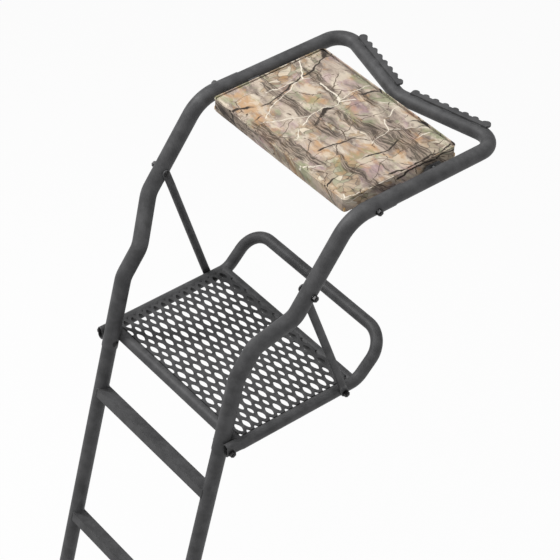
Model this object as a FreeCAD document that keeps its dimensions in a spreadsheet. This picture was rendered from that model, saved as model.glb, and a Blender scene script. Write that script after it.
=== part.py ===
import FreeCAD, Part
import math
import os
import Sketcher
from FreeCAD import Placement, Rotation, Vector

# Ladder tree stand: the seat and platform section on its top ladder section.
# Origin: the point of the tree notch, where the two lines of blade teeth meet,
# at the height of the seat rails.  X runs across the stand, Y towards the tree, Z up.

SIZES = {
    # tubes: the fixed and ladder tubes slide into the sleeves of the upright rails
    "inner_tube_d": 35.0,
    "inner_tube_wall": 1.5,
    "joint_clearance": 0.15,
    "sleeve_wall": 1.4,
    # seat frame, in the plane of the seat rails
    "seat_half_width": 266.5,
    "seat_reach": 377.5,
    "sleeve_length": 111.5,
    "insert_length": 64.0,
    "vee_angle": 14.1,
    "blade_reach": 21.3,
    "seat_corner_radius": 45.0,
    "vee_radius": 60.0,
    # upright rails, heights above the platform tubes
    "seat_height": 513.0,
    "upper_lean_angle": 37.1,
    "lower_lean_angle": 14.9,
    "lower_bend_height": 163.7,
    "flare_start": 228.0,
    "flare_end": 317.0,
    "seat_bend_radius": 90.0,
    "rail_bend_radius": 60.0,
    "sleeve_below": 22.0,
    # ladder section, lengths along the rails
    "ladder_half_width": 212.3,
    "ladder_insert": 75.0,
    "ladder_below": 1390.0,
    "socket_length": 75.0,
    "socket_neck": 8.8,
    "rung_drop": 136.3,
    "rung_pitch": 371.0,
    "rung_depth": 34.0,
    "rung_height": 22.0,
    "rung_wall": 1.5,
    "weld_gap": 0.05,
    # tree blades
    "blade_thickness": 5.0,
    "blade_inset": 3.0,
    "tooth_radius": 9.0,
    "tooth_depth": 6.0,
    "tooth_pitch": 26.3,
    "tooth_count": 8,
    "end_tooth_radius": 10.0,
    "end_tooth_reach": 2.0,
    "left_blade_start": 14.0,
    "right_blade_start": 31.0,
    "right_blade_setback": 3.0,
    # platform
    "platform_tube_d": 28.6,
    "platform_tube_wall": 1.6,
    "platform_depth": 318.7,
    "platform_setback": 26.2,
    "crushed_width": 18.5,
    "crushed_nose": 11.0,
    "crushed_run": 22.0,
    "bolt_drop": 5.6,
    "platform_offset": 1.9,
    "bolted_gap": 0.2,
    "loop_setback": 13.3,
    "loop_tilt_angle": 45.0,
    "loop_leg": 117.0,
    "loop_corner_radius": 60.0,
    "loop_rise_radius": 45.0,
    # platform mesh
    "mesh_thickness": 2.5,
    "mesh_long": 53.1,
    "mesh_short": 21.3,
    "mesh_strand": 4.2,
    "mesh_narrow_strand": 6.2,
    "mesh_tip_cut": 5.3,
    "mesh_border": 2.0,
    "mesh_overlap": 7.3,
    # braces
    "brace_tube_d": 19.0,
    "brace_tube_wall": 1.5,
    "brace_flat": 3.0,
    "brace_end_width": 20.0,
    "brace_top_height": 365.0,
    "brace_foot": 34.7,
    "flattened_run": 22.0,
    # fasteners
    "bolt_d": 8.0,
    "bolt_clearance": 0.25,
    "head_d": 16.0,
    "head_height": 4.2,
    "nut_flats": 13.0,
    "nut_height": 6.8,
    "washer_d": 16.0,
    "washer_thickness": 1.6,
    "bolt_past_nut": 1.5,
    "seat_bolt_from_bend": 59.5,
    # seat
    "ear_clearance": 11.0,
    "cushion_side_gap": 5.0,
    "cushion_front_gap": 10.5,
    "cushion_thickness": 24.7,
    "cushion_corner": 8.0,
    "cushion_edge": 4.0,
    "cushion_rear": 52.0,
    "cushion_bottom": -5.2,
    "board_thickness": 9.0,
    "board_inset": 2.5,
    "pan_inset": 9.0,
    "seat_gap": 0.3,
    "pan_sheet": 2.0,
    "pin_past_ear": 3.5,
    "ear_length": 70.0,
    "ear_above_pivot": 9.0,
    "pivot_forward": 74.0,
    "pivot_height": -4.0,
    "pivot_pin_d": 10.0,
    "pivot_play": 0.3,
    "strap_width": 30.0,
    "strap_thickness": 4.0,
    "strap_past_sleeve": 11.0,
    "screw_d": 5.0,
    "screw_head_d": 10.0,
    "screw_head": 2.5,
    "screw_length": 10.0,
    "screw_inset": 45.0,
}

doc = FreeCAD.newDocument("LadderTreeStand")
sheet = doc.addObject("Spreadsheet::Sheet", "Sizes")
for row, (alias, value) in enumerate(SIZES.items(), start=1):
    sheet.set("A%d" % row, alias)
    sheet.set("B%d" % row, str(value))
    sheet.setAlias("B%d" % row, alias)
doc.recompute()


def size(alias):
    """A driving dimension, read from the spreadsheet."""
    return float(sheet.get(alias))


def tan(angle):
    return math.tan(math.radians(angle))


def sin(angle):
    return math.sin(math.radians(angle))


def cos(angle):
    return math.cos(math.radians(angle))


# ---------------------------------------------------------------- derived places
tube_r = size("inner_tube_d") / 2
bore_r = tube_r + size("joint_clearance")
sleeve_r = bore_r + size("sleeve_wall")
platform_r = size("platform_tube_d") / 2
brace_r = size("brace_tube_d") / 2
hole_r = size("bolt_d") / 2 + size("bolt_clearance")

platform_z = -size("seat_height")
upper_run = size("seat_height") - size("lower_bend_height")
bend_y = -size("seat_reach") - tan(size("upper_lean_angle")) * upper_run
bend_z = platform_z + size("lower_bend_height")
ladder_y = bend_y - tan(size("lower_lean_angle")) * size("lower_bend_height")
front_y = ladder_y + size("platform_setback")
rear_y = front_y + size("platform_depth")

# the crushed front end of a platform tube lies on the outside of its upright rail
crushed_x = size("ladder_half_width") + sleeve_r + size("bolted_gap") + size("crushed_width") / 2
platform_x = crushed_x + size("platform_offset")
brace_top_x = size("seat_half_width") - sleeve_r - size("bolted_gap") - size("brace_flat") / 2
brace_foot_x = platform_x + platform_r + size("bolted_gap") + size("brace_flat") / 2
brace_top_z = platform_z + size("brace_top_height")
brace_top_y = -size("seat_reach") + tan(size("upper_lean_angle")) * brace_top_z
brace_foot_y = rear_y - size("brace_foot")

ladder_axis = Vector(0, sin(size("lower_lean_angle")), cos(size("lower_lean_angle")))
ladder_tilt = Rotation(Vector(1, 0, 0), -size("lower_lean_angle"))
vee_y = -size("blade_reach") / cos(size("vee_angle"))
corner_y = vee_y + tan(size("vee_angle")) * size("seat_half_width")
sleeve_end_y = -size("seat_reach") + size("sleeve_length")


def rail_point(x, height):
    """A point of the upper stretch of an upright rail's centreline."""
    z = platform_z + height
    return Vector(x, -size("seat_reach") + tan(size("upper_lean_angle")) * z, z)


def ladder_point(x, along):
    """A point of a ladder rail's centreline, measured along it from the platform."""
    return Vector(x, ladder_y, platform_z) + ladder_axis * along


# ---------------------------------------------------------------- shared operations
def bent_path(points, radii):
    """Straight runs through the points, joined by tangent arcs of the given radii."""
    edges = []
    start = points[0]
    for point, before, after, radius in zip(points[1:-1], points, points[2:], radii):
        back = (before - point).normalize()
        ahead = (after - point).normalize()
        half = back.getAngle(ahead) / 2
        cut = radius / math.tan(half)
        middle = (back + ahead).normalize() * (radius / math.sin(half) - radius)
        edges.append(Part.LineSegment(start, point + back * cut).toShape())
        arc = Part.Arc(point + back * cut, point + middle, point + ahead * cut)
        edges.append(arc.toShape())
        start = point + ahead * cut
    edges.append(Part.LineSegment(start, points[-1]).toShape())
    return Part.Wire(edges)


def disc(centre, normal, radius):
    return Part.Face(Part.Wire(Part.Circle(centre, normal, radius).toShape()))


def bent_tube(points, radii, outer_r, inner_r):
    """A round tube bent along the path, open at both ends."""
    path = bent_path(points, radii)
    heading = points[1] - points[0]
    ring = disc(points[0], heading, outer_r).cut(disc(points[0], heading, inner_r)).Faces[0]
    tube = path.makePipe(ring)
    expected = path.Length * math.pi * (outer_r ** 2 - inner_r ** 2)
    if abs(tube.Volume - expected) > 0.001 * expected:
        raise ValueError("a bent tube has the wrong volume")
    return tube


def rod(centre, axis, radius, length):
    """A cylinder centred on a point."""
    direction = Vector(axis).normalize()
    return Part.makeCylinder(radius, length, centre - direction * length / 2, direction)


def round_section(centre, radius):
    """A circle in the XY plane as four arcs, which a loft can match to a slot."""
    corners = [centre + Vector(math.cos(a), math.sin(a), 0) * radius
               for a in (math.pi * (k / 2 - 0.25) for k in range(5))]
    middles = [centre + Vector(math.cos(a), math.sin(a), 0) * radius
               for a in (math.pi * k / 2 for k in range(4))]
    arcs = [Part.Arc(a, m, b).toShape() for a, m, b in zip(corners, middles, corners[1:])]
    return Part.Wire(arcs)


def slot_section(centre, thickness, height):
    """A slot in the XY plane: two flats along Y, closed by half rounds."""
    half = thickness / 2
    flat = height / 2 - half
    right = Part.LineSegment(centre + Vector(half, -flat, 0), centre + Vector(half, flat, 0))
    top = Part.Arc(centre + Vector(half, flat, 0), centre + Vector(0, flat + half, 0),
                   centre + Vector(-half, flat, 0))
    left = Part.LineSegment(centre + Vector(-half, flat, 0), centre + Vector(-half, -flat, 0))
    bottom = Part.Arc(centre + Vector(-half, -flat, 0), centre + Vector(0, -flat - half, 0),
                      centre + Vector(half, -flat, 0))
    return Part.Wire([e.toShape() for e in (right, top, left, bottom)])


def flattened_height(tube_d, thickness):
    """Height of a tube squashed to this thickness, its girth unchanged."""
    return math.pi * (tube_d - thickness) / 2 + thickness


def flattened_end(tube_d, thickness, height, run, hole_radius):
    """A tube end squashed flat and clipped to a height: it has a bolt hole at the origin, is
    rounded past it towards -Z, and opens along `run` to the full circle."""
    flat_to = 0.6 * height
    flat = Part.Face(slot_section(Vector(0, 0, -height), thickness, height))
    flat = flat.extrude(Vector(0, 0, flat_to + height))
    nose = Part.makeBox(2 * thickness, height, flat_to,
                        Vector(-thickness, -height / 2, 0))
    nose = nose.fuse(rod(Vector(0, 0, 0), (1, 0, 0), height / 2, 2 * thickness))
    flat = flat.common(nose)
    sections = [slot_section(Vector(0, 0, flat_to), thickness, height),
                round_section(Vector(0, 0, flat_to + run), tube_d / 2)]
    opening = Part.makeLoft(sections, True, True)
    end = flat.fuse(opening).removeSplitter()
    return end.cut(rod(Vector(0, 0, 0), (1, 0, 0), hole_radius, 4 * thickness)), flat_to + run


def crushed_end(tube_r, skin, offset):
    """The solid shape of a tube end crushed to an oval ahead of the origin and opening along
    +Z to the full circle, whose centre is offset in X; skin is taken off all round."""
    width = size("crushed_width") - 2 * skin
    height = flattened_height(2 * tube_r, size("crushed_width")) - 2 * skin
    mouth = size("crushed_width") / 2
    oval = slot_section(Vector(0, 0, -size("crushed_nose")), width, height)
    straight = Part.Face(oval).extrude(Vector(0, 0, size("crushed_nose") + mouth))
    sections = [slot_section(Vector(0, 0, mouth), width, height),
                round_section(Vector(offset, 0, mouth + size("crushed_run")), tube_r - skin)]
    return straight.fuse(Part.makeLoft(sections, True, True))


def feature(label, shape, placement=None):
    """A sub-part whose shape is set from the sheet's values."""
    item = doc.addObject("Part::Feature", label)
    item.Label = label
    item.Shape = shape
    if placement is not None:
        item.Placement = placement
    return item


def mirrored(label, source):
    """The other hand of a sub-part, across the stand's middle plane."""
    item = doc.addObject("Part::Mirroring", label)
    item.Label = label
    item.Source = source
    item.Normal = Vector(1, 0, 0)
    return item


def compound(label, items):
    item = doc.addObject("Part::Compound", label)
    item.Label = label
    item.Links = items
    return item


def body(label, placement=None):
    item = doc.addObject("PartDesign::Body", label)
    item.Label = label
    if placement is not None:
        item.Placement = placement
    return item


def sketch(owner, name, role, offset=0.0):
    """A sketch on one of the body's own origin planes, moved along the plane's normal."""
    item = owner.newObject("Sketcher::SketchObject", name)
    plane = [o for o in owner.Origin.OriginFeatures if o.Role == role][0]
    item.AttachmentSupport = [(plane, "")]
    item.MapMode = "FlatFace"
    item.AttachmentOffset = Placement(Vector(0, 0, offset), Rotation())
    return item


def bind(item, index, alias_expression):
    item.setExpression("Constraints[%d]" % index, alias_expression)


def add_circle(item, centre, radius, expression):
    """A circle whose radius follows the sheet."""
    geometry = item.addGeometry(Part.Circle(centre, Vector(0, 0, 1), radius))
    bind(item, item.addConstraint(Sketcher.Constraint("Radius", geometry, radius)), expression)
    return geometry


def add_rectangle(item, width, height, width_expression, height_expression, centre=(0, 0)):
    """A rectangle whose width and height follow the sheet."""
    cx, cy = centre
    corners = [Vector(cx + sx * width / 2, cy + sy * height / 2, 0)
               for sx, sy in ((-1, -1), (1, -1), (1, 1), (-1, 1))]
    first = item.GeometryCount
    for a, b in zip(corners, corners[1:] + corners[:1]):
        item.addGeometry(Part.LineSegment(a, b))
    for k in range(4):
        item.addConstraint(Sketcher.Constraint("Coincident", first + k, 2, first + (k + 1) % 4, 1))
    for k in (0, 2):
        item.addConstraint(Sketcher.Constraint("Horizontal", first + k))
    for k in (1, 3):
        item.addConstraint(Sketcher.Constraint("Vertical", first + k))
    if centre == (0, 0):
        item.addConstraint(Sketcher.Constraint("Symmetric", first, 1, first + 1, 2, -1, 1))
    index = item.addConstraint(Sketcher.Constraint("DistanceX", first, 1, first, 2, width))
    bind(item, index, width_expression)
    index = item.addConstraint(Sketcher.Constraint("DistanceY", first + 1, 1, first + 1, 2, height))
    bind(item, index, height_expression)


def pad(owner, name, profile, expression, midplane=False):
    item = owner.newObject("PartDesign::Pad", name)
    item.Profile = profile
    item.setExpression("Length", expression)
    item.Midplane = midplane
    return item


def drilled(label, base, cutters):
    """The base with holes cut through it."""
    tool = compound(label + "_cutters", cutters)
    item = doc.addObject("Part::Cut", label)
    item.Label = label
    item.Base = base
    item.Tool = tool
    return item


def drill(name, centre, axis, radius, length):
    """A cutting cylinder, kept out of the exported parts."""
    return feature(name, rod(centre, axis, radius, length))


across = Vector(1, 0, 0)
parts = []

# ---------------------------------------------------------------- upright rails
# One bent tube on each side: down over the ladder, up with two leans, flared outwards
# to the seat's width, and bent level to become the sleeve of the seat frame.
ladder_x = size("ladder_half_width")
seat_x = size("seat_half_width")
rail_points = [ladder_point(ladder_x, -size("sleeve_below")),
               Vector(ladder_x, bend_y, bend_z),
               rail_point(ladder_x, size("flare_start")),
               rail_point(seat_x, size("flare_end")),
               Vector(seat_x, -size("seat_reach"), 0),
               Vector(seat_x, sleeve_end_y, 0)]
rail_radii = [size("rail_bend_radius")] * 3 + [size("seat_bend_radius")]
rail = bent_tube(rail_points, rail_radii, sleeve_r, bore_r)
seat_bolt = Vector(seat_x, size("seat_bolt_from_bend") - size("seat_reach"), 0)
brace_bolt = Vector(seat_x, brace_top_y, brace_top_z)
ladder_bolt = ladder_point(ladder_x, -size("bolt_drop"))
for bolt_centre in (seat_bolt, brace_bolt, ladder_bolt):
    rail = rail.cut(rod(bolt_centre, across, hole_r, 3 * sleeve_r))
right_rail = feature("right_upright_rail", rail)
parts += [right_rail, mirrored("left_upright_rail", right_rail)]

# ---------------------------------------------------------------- ladder rails
# A straight tube whose lower end is expanded into a socket for the next section.
ladder_rail = body("ladder_rail_tube", Placement(ladder_point(ladder_x, 0), ladder_tilt))
profile = sketch(ladder_rail, "wall_section", "XZ_Plane")
socket_top = -size("ladder_below") + size("socket_length")
neck_top = socket_top + size("socket_neck")
inner_r = tube_r - size("inner_tube_wall")
section = [(inner_r, size("ladder_insert")), (tube_r, size("ladder_insert")),
           (tube_r, neck_top), (sleeve_r, socket_top), (sleeve_r, -size("ladder_below")),
           (bore_r, -size("ladder_below")), (bore_r, socket_top), (inner_r, neck_top)]
corners = [Vector(r, along, 0) for r, along in section]
for a, b in zip(corners, corners[1:] + corners[:1]):
    profile.addGeometry(Part.LineSegment(a, b))
turn = ladder_rail.newObject("PartDesign::Revolution", "tube")
turn.Profile = profile
turn.ReferenceAxis = (profile, ["V_Axis"])
turn.Angle = 360
hole = drill("ladder_bolt_drill", ladder_bolt, across, hole_r, 3 * sleeve_r)
right_ladder = drilled("right_ladder_rail", ladder_rail, [hole])
parts += [right_ladder, mirrored("left_ladder_rail", right_ladder)]


# ---------------------------------------------------------------- rungs
def rung(number):
    """A flat-topped box tube, coped to the ladder rails at both ends."""
    middle = -size("rung_drop") - size("rung_pitch") * (number - 1) - size("rung_height") / 2
    owner = body("ladder_rung_%d" % number, Placement(ladder_point(0, middle), ladder_tilt))
    box = sketch(owner, "rung_%d_section" % number, "YZ_Plane")
    add_rectangle(box, size("rung_depth"), size("rung_height"),
                  "Sizes.rung_depth", "Sizes.rung_height")
    add_rectangle(box, size("rung_depth") - 2 * size("rung_wall"),
                  size("rung_height") - 2 * size("rung_wall"),
                  "Sizes.rung_depth - 2 * Sizes.rung_wall",
                  "Sizes.rung_height - 2 * Sizes.rung_wall")
    pad(owner, "rung_%d_tube" % number, box, "2 * Sizes.ladder_half_width", True)
    copes = sketch(owner, "rung_%d_copes" % number, "XY_Plane")
    for x in (-ladder_x, ladder_x):
        add_circle(copes, Vector(x, 0, 0), tube_r + size("weld_gap"),
                   "Sizes.inner_tube_d / 2 + Sizes.weld_gap")
    cope = owner.newObject("PartDesign::Pocket", "rung_%d_cope" % number)
    cope.Profile = copes
    cope.Type = "ThroughAll"
    cope.Midplane = True
    return owner


parts += [rung(number) for number in range(1, 5)]

# ---------------------------------------------------------------- seat frame
# A tube in one plane: two seat rails, joined at the tree by a shallow vee.
frame_start_y = sleeve_end_y - size("insert_length")
frame_points = [Vector(-seat_x, frame_start_y, 0), Vector(-seat_x, corner_y, 0),
                Vector(0, vee_y, 0), Vector(seat_x, corner_y, 0),
                Vector(seat_x, frame_start_y, 0)]
frame_radii = [size("seat_corner_radius"), size("vee_radius"), size("seat_corner_radius")]
frame_body = body("seat_frame_tube")
spine = sketch(frame_body, "seat_frame_route", "XY_Plane")
for edge in bent_path(frame_points, frame_radii).Edges:
    first, last = edge.ParameterRange
    ends = (edge.valueAt(first), edge.valueAt(last))
    if isinstance(edge.Curve, Part.Line):
        spine.addGeometry(Part.LineSegment(*ends))
    else:
        spine.addGeometry(Part.Arc(ends[0], edge.valueAt((first + last) / 2), ends[1]))
ring = sketch(frame_body, "seat_frame_ring", "XZ_Plane", -frame_start_y)
add_circle(ring, Vector(-seat_x, 0, 0), tube_r, "Sizes.inner_tube_d / 2")
add_circle(ring, Vector(-seat_x, 0, 0), inner_r,
           "Sizes.inner_tube_d / 2 - Sizes.inner_tube_wall")
frame_pipe = frame_body.newObject("PartDesign::AdditivePipe", "seat_frame_pipe")
frame_pipe.Profile = ring
frame_pipe.Spine = (spine, [])

cushion_rear_y = -size("cushion_rear")
pivot_y = cushion_rear_y - size("pivot_forward")
pivot_z = size("pivot_height")
pan_half = seat_x - tube_r - size("ear_clearance")
pin_from = pan_half - size("pan_sheet") - size("pin_past_ear")
pin_to = seat_x - inner_r + 2
cutters = []
for side, hand in ((1, "right"), (-1, "left")):
    cutters.append(drill("seat_bolt_drill_" + hand, Vector(side * seat_x, seat_bolt.y, 0),
                         across, hole_r, 3 * sleeve_r))
    cutters.append(drill("pivot_drill_" + hand,
                         Vector(side * (seat_x - tube_r), pivot_y, pivot_z), across,
                         size("pivot_pin_d") / 2 + size("weld_gap"), tube_r))
parts.append(drilled("seat_frame", frame_body, cutters))

# ---------------------------------------------------------------- tree blades
# A flat plate on the crest of each vee leg, with a row of rounded teeth towards the tree
# and a larger tooth at its outer end.
def tree_blade(label, start, setback):
    """A blade along the right leg, its first tooth `start` from the middle plane."""
    inset = size("blade_inset") - setback
    place = Vector(sin(size("vee_angle")) * setback, vee_y - cos(size("vee_angle")) * setback,
                   math.sqrt(tube_r ** 2 - inset ** 2))
    owner = body(label, Placement(place, Rotation(Vector(0, 0, 1), size("vee_angle"))))
    blade_long = size("tooth_pitch") * (size("tooth_count") - 1) + 2 * size("tooth_radius")
    blade_deep = size("blade_reach") - size("tooth_depth") - size("blade_inset")
    strip = sketch(owner, label + "_strip", "XY_Plane")
    add_rectangle(strip, blade_long, blade_deep,
                  "Sizes.tooth_pitch * (Sizes.tooth_count - 1) + 2 * Sizes.tooth_radius",
                  "Sizes.blade_reach - Sizes.tooth_depth - Sizes.blade_inset",
                  (start + blade_long / 2, size("blade_inset") + blade_deep / 2))
    pad(owner, label + "_plate", strip, "Sizes.blade_thickness")
    last = sketch(owner, label + "_end", "XY_Plane")
    reach = size("blade_reach") + size("end_tooth_reach") - size("end_tooth_radius")
    add_circle(last, Vector(start + blade_long - size("end_tooth_radius") / 2, reach, 0),
               size("end_tooth_radius"), "Sizes.end_tooth_radius")
    pad(owner, label + "_end_tooth", last, "Sizes.blade_thickness")
    tooth = sketch(owner, label + "_tooth", "XY_Plane")
    add_circle(tooth, Vector(start + size("tooth_radius"),
                             size("blade_reach") - size("tooth_radius"), 0),
               size("tooth_radius"), "Sizes.tooth_radius")
    first_tooth = pad(owner, label + "_first_tooth", tooth, "Sizes.blade_thickness")
    row_of_teeth = owner.newObject("PartDesign::LinearPattern", label + "_teeth")
    row_of_teeth.Originals = [first_tooth]
    row_of_teeth.Direction = (strip, ["H_Axis"])
    row_of_teeth.setExpression("Length", "Sizes.tooth_pitch * (Sizes.tooth_count - 1)")
    row_of_teeth.setExpression("Occurrences", "Sizes.tooth_count")
    owner.Tip = row_of_teeth
    return owner


parts.append(tree_blade("right_tree_blade", size("right_blade_start"),
                        size("right_blade_setback")))
left_blank = tree_blade("left_blade_blank", size("left_blade_start"), 0)
parts.append(mirrored("left_tree_blade", left_blank))

# ---------------------------------------------------------------- platform frame
# One tube: forward along both sides to crushed, bolted ends, and round the back as a
# loop that is tilted up.
leg_top = Vector(0, cos(size("loop_tilt_angle")), sin(size("loop_tilt_angle"))) * size("loop_leg")
loop_bend_y = rear_y + size("loop_setback")
front_end = crushed_end(platform_r, 0, size("platform_offset"))
front_end = front_end.cut(crushed_end(platform_r, size("platform_tube_wall"),
                                      size("platform_offset")))
end_room = crushed_end(platform_r, -size("weld_gap"), size("platform_offset"))
front_place = Placement(Vector(crushed_x, ladder_y, platform_z),
                        Rotation(Vector(1, 0, 0), -90))
tube_start_y = ladder_y + size("crushed_width") / 2 + size("crushed_run")
loop_points = []
for side in (1, -1):
    stretch = [Vector(side * platform_x, tube_start_y, platform_z),
               Vector(side * platform_x, loop_bend_y, platform_z),
               Vector(side * platform_x, loop_bend_y, platform_z) + leg_top]
    loop_points += stretch if side == 1 else stretch[::-1]
rise_r = size("loop_rise_radius")
corner_r = size("loop_corner_radius")
loop_radii = [rise_r, corner_r, corner_r, rise_r]
loop = bent_tube(loop_points, loop_radii, platform_r, platform_r - size("platform_tube_wall"))
front_end.Placement = front_place
end_room.Placement = front_place
platform = loop.fuse([front_end, front_end.mirror(Vector(0, 0, 0), Vector(1, 0, 0))])
foot_bolt = Vector(platform_x, brace_foot_y, platform_z)
for side in (1, -1):
    for centre in (foot_bolt, ladder_bolt):
        platform = platform.cut(rod(Vector(side * centre.x, centre.y, centre.z), across,
                                    hole_r, 4 * size("platform_tube_d")))
parts.append(feature("platform_frame", platform))


# ---------------------------------------------------------------- platform cross tubes
def cross_tube(label, y, recesses):
    """A straight tube between the side tubes, coped to fit what it meets."""
    tube = rod(Vector(0, y, platform_z), across, platform_r, 2 * platform_x)
    tube = tube.cut(rod(Vector(0, y, platform_z), across,
                        platform_r - size("platform_tube_wall"), 3 * platform_x))
    return feature(label, tube.cut(recesses))


loop_room = bent_path(loop_points, loop_radii).makePipe(
    disc(loop_points[0], Vector(0, 1, 0), platform_r + size("weld_gap")))
outside = [Part.makeBox(2 * platform_r, 2 * size("platform_depth"), 4 * platform_r,
                        Vector(x, front_y - size("platform_depth"),
                               platform_z - 2 * platform_r))
           for x in (platform_x, -platform_x - 2 * platform_r)]
side_copes = outside + [loop_room, end_room,
                        end_room.mirror(Vector(0, 0, 0), Vector(1, 0, 0))]
saddles = [rod(ladder_point(side * ladder_x, 0), ladder_axis, sleeve_r + size("bolted_gap"),
               4 * sleeve_r) for side in (1, -1)]
parts.append(cross_tube("platform_front_tube", front_y, side_copes + saddles))
parts.append(cross_tube("platform_rear_tube", rear_y, side_copes))

# ---------------------------------------------------------------- platform mesh
# Expanded metal: rows of six-sided holes, each row half a pitch along from the next and
# every other row a little narrower.  The sheet is sheared through its outer holes and
# welded by its edges on the shoulders of the platform tubes.
mesh_half = platform_x - size("mesh_overlap")
mesh_from = front_y + size("mesh_overlap")
mesh_to = rear_y - size("mesh_overlap")
mesh_z = platform_z + math.sqrt(platform_r ** 2 - size("mesh_overlap") ** 2)
mesh_middle = (mesh_from + mesh_to) / 2
mesh_depth = mesh_to - mesh_from
inner_x = mesh_half - size("mesh_border")
inner_y = mesh_depth / 2 - size("mesh_border")
half_long, half_short = size("mesh_long") / 2, size("mesh_short") / 2
strand_angle = math.atan2(half_short, half_long)


def mesh_hole(x, y, strand):
    """A hole between strands of this width, its tips cut square, as far as the border."""
    long = half_long - strand / 2 / math.sin(strand_angle)
    short = half_short - strand / 2 / math.cos(strand_angle)
    tip = long - size("mesh_tip_cut")
    tip_short = short * size("mesh_tip_cut") / long
    corners = [(-tip, -tip_short), (0, -short), (tip, -tip_short),
               (tip, tip_short), (0, short), (-tip, tip_short)]
    points = [Vector(x + dx, mesh_middle + y + dy, mesh_z) for dx, dy in corners]
    return Part.Face(Part.makePolygon(points + points[:1])).common(mesh_inside)


mesh_inside = Part.makePlane(2 * inner_x, 2 * inner_y,
                             Vector(-inner_x, mesh_middle - inner_y, mesh_z))
mesh_sheet = Part.makePlane(2 * mesh_half, mesh_depth, Vector(-mesh_half, mesh_from, mesh_z))
rows = int(mesh_depth / 2 / half_short) + 1
columns = int(mesh_half / half_long) + 1
holes = []
for row in range(-rows, rows + 1):
    strand = size("mesh_strand" if row % 2 else "mesh_narrow_strand")
    for column in range(-columns, columns + 1):
        if (row + column) % 2:
            holes += mesh_hole(column * half_long, row * half_short, strand).Faces
holes = [hole for hole in holes if hole.Area > size("mesh_border") ** 2]
grille = mesh_sheet.cut(Part.makeCompound(holes)).Faces[0]
parts.append(feature("platform_mesh", grille.extrude(Vector(0, 0, size("mesh_thickness")))))

# ---------------------------------------------------------------- platform braces
# A round tube flattened at both ends, from the upright rail down to the platform's side.
brace_foot = Vector(brace_foot_x, brace_foot_y, platform_z)
brace_top = Vector(brace_top_x, brace_top_y, brace_top_z)
rise = Vector(0, brace_top.y - brace_foot.y, brace_top.z - brace_foot.z)
brace_end, round_from = flattened_end(size("brace_tube_d"), size("brace_flat"),
                                      size("brace_end_width"), size("flattened_run"), hole_r)
shift = brace_top.x - brace_foot.x
brace_tube = Part.makeLoft([round_section(Vector(0, 0, round_from), brace_r),
                            round_section(Vector(shift, 0, rise.Length - round_from), brace_r)],
                           True, True)
core = Part.makeLoft([round_section(Vector(0, 0, round_from),
                                    brace_r - size("brace_tube_wall")),
                      round_section(Vector(shift, 0, rise.Length - round_from),
                                    brace_r - size("brace_tube_wall"))], True, True)
top_end = brace_end.copy()
top_end.Placement = Placement(Vector(shift, 0, rise.Length), Rotation(Vector(1, 0, 0), 180))
brace_shape = brace_tube.cut(core).fuse([brace_end, top_end])
brace_lean = Rotation(Vector(0, 0, 1), rise)
right_brace = feature("right_platform_brace", brace_shape, Placement(brace_foot, brace_lean))
parts += [right_brace, mirrored("left_platform_brace", right_brace)]


# ---------------------------------------------------------------- fasteners
def joint_bolt(label, centre, inner_x, outer_x):
    """A round-headed bolt across a joint: head inside, room for washer and nut outside."""
    end_x = outer_x + size("washer_thickness") + size("nut_height") + size("bolt_past_nut")
    crown_x = inner_x - size("head_height")
    head_r, shank_r = size("head_d") / 2, size("bolt_d") / 2

    def at(x, radius):
        return Vector(x, centre.y, centre.z + radius)

    dome = Part.Arc(at(crown_x, shank_r / 2),
                    at(inner_x - 0.72 * size("head_height"), 0.68 * head_r), at(inner_x, head_r))
    corners = [at(inner_x, head_r), at(inner_x, shank_r), at(end_x, shank_r), at(end_x, 0),
               at(crown_x, 0), at(crown_x, shank_r / 2)]
    outline = [dome.toShape()] + [Part.LineSegment(a, b).toShape()
                                  for a, b in zip(corners, corners[1:])]
    turned = Part.Face(Part.Wire(outline)).revolve(at(0, 0), across, 360)
    right = feature(label + "_right", turned)
    return compound(label, [right, mirrored(label + "_left", right)])


joints = {
    "seat_joint_bolts": (seat_bolt, seat_x - sleeve_r, seat_x + sleeve_r),
    "brace_top_bolts": (brace_bolt, brace_top_x - size("brace_flat") / 2, seat_x + sleeve_r),
    "brace_foot_bolts": (foot_bolt, platform_x - platform_r,
                         brace_foot_x + size("brace_flat") / 2),
    "ladder_joint_bolts": (ladder_bolt, ladder_x - sleeve_r,
                           crushed_x + size("crushed_width") / 2),
}
nuts, washers = [], []
for name, (centre, inner_x, outer_x) in joints.items():
    parts.append(joint_bolt(name, centre, inner_x, outer_x))
    seat_at = Vector(outer_x, centre.y, centre.z)
    washer = Part.makeCylinder(size("washer_d") / 2, size("washer_thickness"), seat_at, across)
    washer = washer.cut(rod(seat_at, across, hole_r, 6 * size("washer_thickness")))
    right_washer = feature(name + "_washer", washer)
    corner_r = size("nut_flats") / 2 / cos(30)
    nut_at = seat_at + across * size("washer_thickness")
    hexagon = [nut_at + Vector(0, sin(60 * k), cos(60 * k)) * corner_r for k in range(7)]
    nut = Part.Face(Part.makePolygon(hexagon)).extrude(across * size("nut_height"))
    nut = nut.cut(rod(nut_at, across, size("bolt_d") / 2, 4 * size("nut_height")))
    right_nut = feature(name + "_nut", nut)
    nuts += [right_nut, mirrored(name + "_nut_left", right_nut)]
    washers += [right_washer, mirrored(name + "_washer_left", right_washer)]
parts += [compound("lock_nuts", nuts), compound("joint_washers", washers)]

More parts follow.
